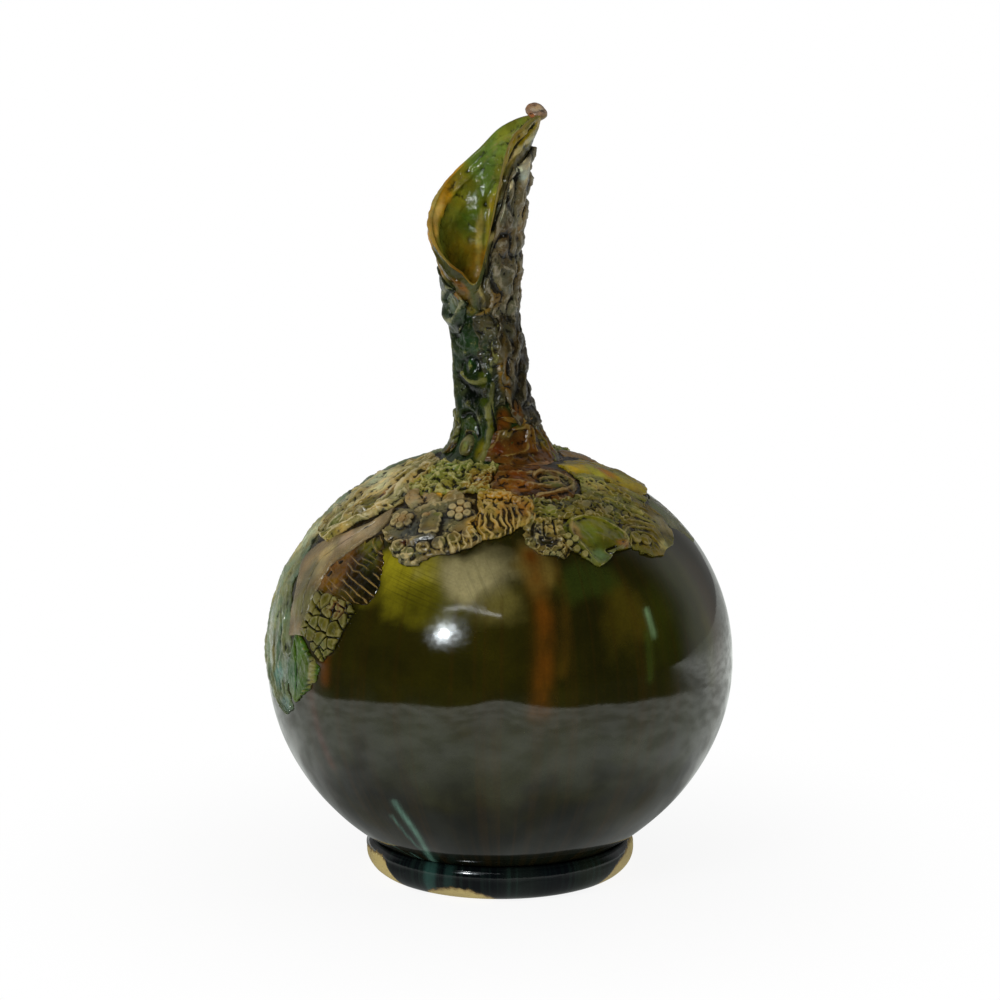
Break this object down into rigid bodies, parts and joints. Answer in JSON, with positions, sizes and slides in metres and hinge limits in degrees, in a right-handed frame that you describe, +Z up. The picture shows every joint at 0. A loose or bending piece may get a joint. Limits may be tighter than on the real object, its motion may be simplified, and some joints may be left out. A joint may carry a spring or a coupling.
{
  "type": "stoneware vase",
  "caption": "Round bottle vase in glazed stoneware with a leaning bark neck, an open leaf mouth, a foot ring and a collar of applied clay leaves and strips.",
  "frame": {"origin": "centre of the foot ring on the plane that the vase stands on", "axes": "+Z up along the axis of the globe, -Y towards the front, where the mouth opens, +X to the right"},
  "size_m": [0.201, 0.2, 0.331],
  "materials": {
    "olive_glaze": "high gloss iron and copper glaze with vertical runs",
    "buff_clay": "unglazed buff stoneware with a ragged dark glaze edge",
    "green_glaze": "glossy mottled green glaze",
    "bark_glaze": "grey brown glaze broken over a bark texture",
    "amber_glaze": "amber to red brown glaze, pale on its ridges",
    "moss_glaze": "olive glaze pooled dark in the hollows",
    "mauve_clay": "thin mauve grey glaze over raised clay"
  },
  "bodies": {
    "root": {"globe": "olive_glaze", "foot_ring": "buff_clay", "neck_tube": "green_glaze", "mouth_leaf": "green_glaze", "tip_bead": "mauve_clay", "bark_slab_low": "bark_glaze", "bark_slab_high": "bark_glaze", "folded_tab": "green_glaze", "wrap_strip": "green_glaze", "root_leaf": "amber_glaze", "root_button": "green_glaze", "root_pods": "green_glaze", "root_cushion": "mauve_clay", "moss_patch": "moss_glaze", "lump_row": "mauve_clay", "shoulder_band": "amber_glaze", "smooth_band": "mauve_clay", "ribbed_slab": "amber_glaze", "cobble_strip": "moss_glaze", "green_blade": "green_glaze", "edge_frond": "green_glaze", "rosette_strip": "mauve_clay", "gill_strip": "amber_glaze", "strap_loop": "amber_glaze", "stamp_slab": "mauve_clay", "scale_row": "moss_glaze", "pebble_band": "moss_glaze", "amber_band": "amber_glaze", "big_leaf": "green_glaze", "fan_slab": "mauve_clay", "point_leaf": "green_glaze", "back_band": "amber_glaze", "back_moss": "moss_glaze", "back_rosettes": "mauve_clay", "back_leaf": "green_glaze", "back_ribs": "amber_glaze", "back_frond": "green_glaze"}
  },
  "joints": []
}
